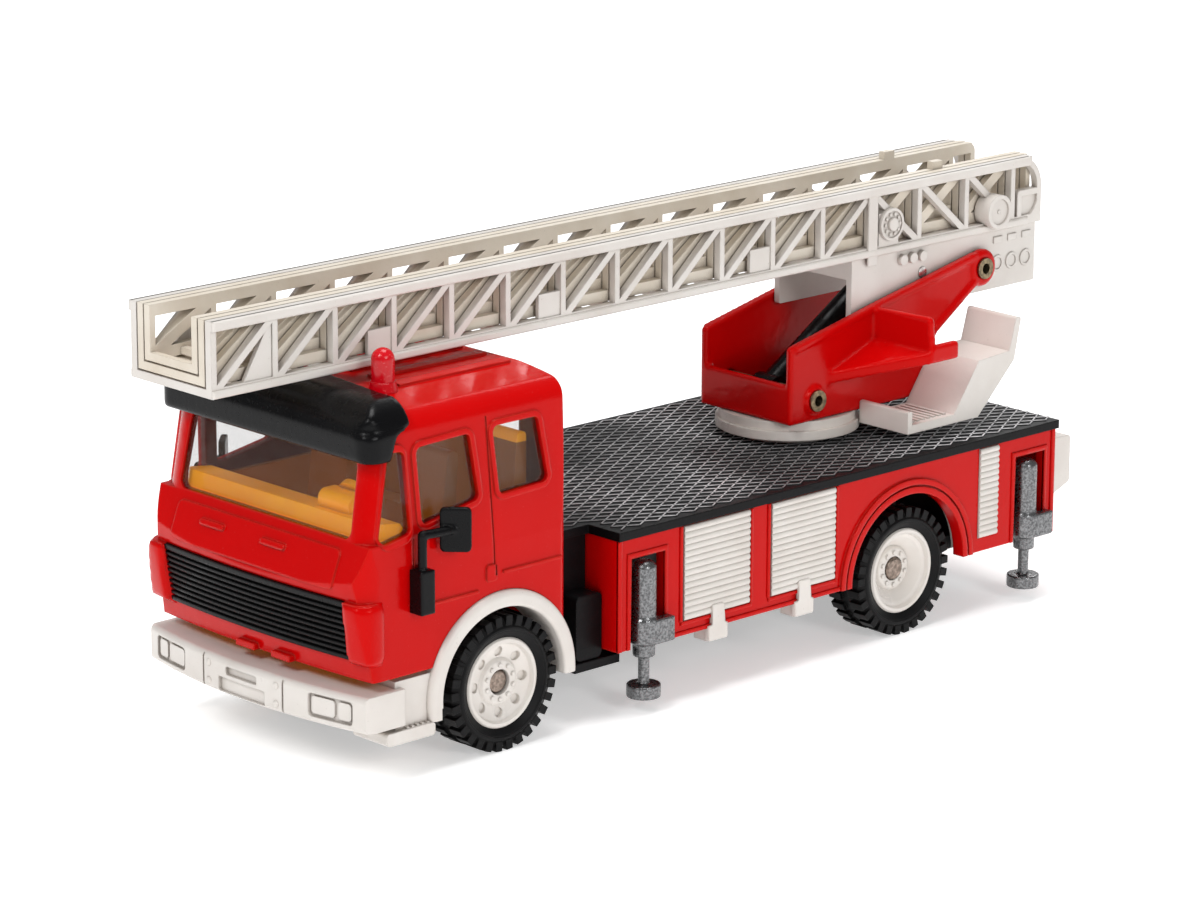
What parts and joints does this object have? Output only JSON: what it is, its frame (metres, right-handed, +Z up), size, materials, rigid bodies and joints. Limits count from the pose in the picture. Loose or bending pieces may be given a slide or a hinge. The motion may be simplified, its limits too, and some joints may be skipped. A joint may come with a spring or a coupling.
{
  "type": "toy fire engine",
  "caption": "Die-cast toy fire engine with rolling wheels, a turning and rising ladder that pulls out in sections, and outriggers that slide out.",
  "frame": {"origin": "on the ground under the middle of the object's box", "axes": "+X the way the truck faces, +Y its left, +Z up"},
  "size_m": [0.152, 0.0494, 0.0612],
  "materials": {
    "red_paint": "gloss die-cast paint",
    "white_plastic": "gloss moulding",
    "cream_plastic": "satin moulding",
    "black_gloss": "gloss moulding",
    "black_matte": "matt moulding",
    "amber_plastic": "satin moulding",
    "clear_plastic": "clear, a little brown",
    "red_clear": "translucent",
    "tyre_rubber": "matt rubber",
    "steel": "bare",
    "rivet_metal": "tarnished",
    "zinc": "grey casting"
  },
  "bodies": {
    "vehicle": {"chassis": "black_matte", "chassis_rivets": "rivet_metal", "cab_shell": "red_paint", "interior": "amber_plastic", "glazing": "clear_plastic", "visor": "black_gloss", "grille": "black_gloss", "bumper": "white_plastic", "mirror_left": "black_gloss", "mirror_right": "black_gloss", "beacons": "red_clear", "body_shell": "red_paint", "shutters_left": "white_plastic", "shutters_right": "white_plastic", "deck": "black_matte", "rear_lamps": "white_plastic"},
    "front_wheels": {"front_axle": "steel", "front_hub_left": "white_plastic", "front_hub_right": "white_plastic", "front_tyre_left": "tyre_rubber", "front_tyre_right": "tyre_rubber"},
    "rear_wheels": {"rear_axle": "steel", "rear_hub_left": "white_plastic", "rear_hub_right": "white_plastic", "rear_tyre_left": "tyre_rubber", "rear_tyre_right": "tyre_rubber"},
    "turntable": {"turntable": "white_plastic", "turntable_clip": "black_matte", "cradle": "red_paint", "hinge_rivet": "rivet_metal", "ram_rivet": "rivet_metal", "platform": "white_plastic"},
    "ladder": {"ladder_base": "white_plastic", "ladder_bracket": "white_plastic", "ram_pin": "steel"},
    "ladder_middle": {"ladder_middle": "cream_plastic"},
    "ladder_top": {"ladder_top": "cream_plastic"},
    "ram_cylinder": {"ram_cylinder": "black_gloss"},
    "ram_rod": {"ram_rod": "steel"},
    "outrigger_front_left": {"outrigger_front_left": "zinc"},
    "outrigger_front_right": {"outrigger_front_right": "zinc"},
    "outrigger_rear_left": {"outrigger_rear_left": "zinc"},
    "outrigger_rear_right": {"outrigger_rear_right": "zinc"}
  },
  "joints": [
    {"name": "front_wheel_roll", "type": "hinge", "parent": "vehicle", "child": "front_wheels", "pos_m": [0.03954, 0, 0.009], "axis": [0, 1, 0], "continuous": true},
    {"name": "rear_wheel_roll", "type": "hinge", "parent": "vehicle", "child": "rear_wheels", "pos_m": [-0.03476, 0, 0.009], "axis": [0, 1, 0], "continuous": true},
    {"name": "turntable_turn", "type": "hinge", "parent": "vehicle", "child": "turntable", "pos_m": [-0.03276, 0, 0.027], "axis": [0, 0, 1], "continuous": true},
    {"name": "ladder_raise", "type": "hinge", "parent": "turntable", "child": "ladder", "pos_m": [-0.06296, 0, 0.0455], "axis": [0, -1, 0], "range_deg": [0, 60]},
    {"name": "middle_slide", "type": "slide", "parent": "ladder", "child": "ladder_middle", "axis": [1, 0, 0], "range_m": [0, 0.105]},
    {"name": "top_slide", "type": "slide", "parent": "ladder_middle", "child": "ladder_top", "axis": [1, 0, 0], "range_m": [0, 0.105]},
    {"name": "ram_swing", "type": "hinge", "parent": "turntable", "child": "ram_cylinder", "pos_m": [-0.02906, 0, 0.0321], "axis": [0, -1, 0], "range_deg": [-8.8, 0.1]},
    {"name": "ram_stroke", "type": "slide", "parent": "ram_cylinder", "child": "ram_rod", "axis": [-0.8461, 0, 0.533], "range_m": [0, 0.0103]},
    {"name": "outrigger_front_left_slide", "type": "slide", "parent": "vehicle", "child": "outrigger_front_left", "axis": [0, 1, 0], "range_m": [0, 0.009]},
    {"name": "outrigger_front_right_slide", "type": "slide", "parent": "vehicle", "child": "outrigger_front_right", "axis": [0, -1, 0], "range_m": [0, 0.009]},
    {"name": "outrigger_rear_left_slide", "type": "slide", "parent": "vehicle", "child": "outrigger_rear_left", "axis": [0, 1, 0], "range_m": [0, 0.009]},
    {"name": "outrigger_rear_right_slide", "type": "slide", "parent": "vehicle", "child": "outrigger_rear_right", "axis": [0, -1, 0], "range_m": [0, 0.009]}
  ],
  "couplings": [
    {"joint": "ram_swing", "follows": "ladder_raise", "ratio": -0.145},
    {"joint": "ram_stroke", "follows": "ladder_raise", "m_per_rad": 0.009734}
  ]
}
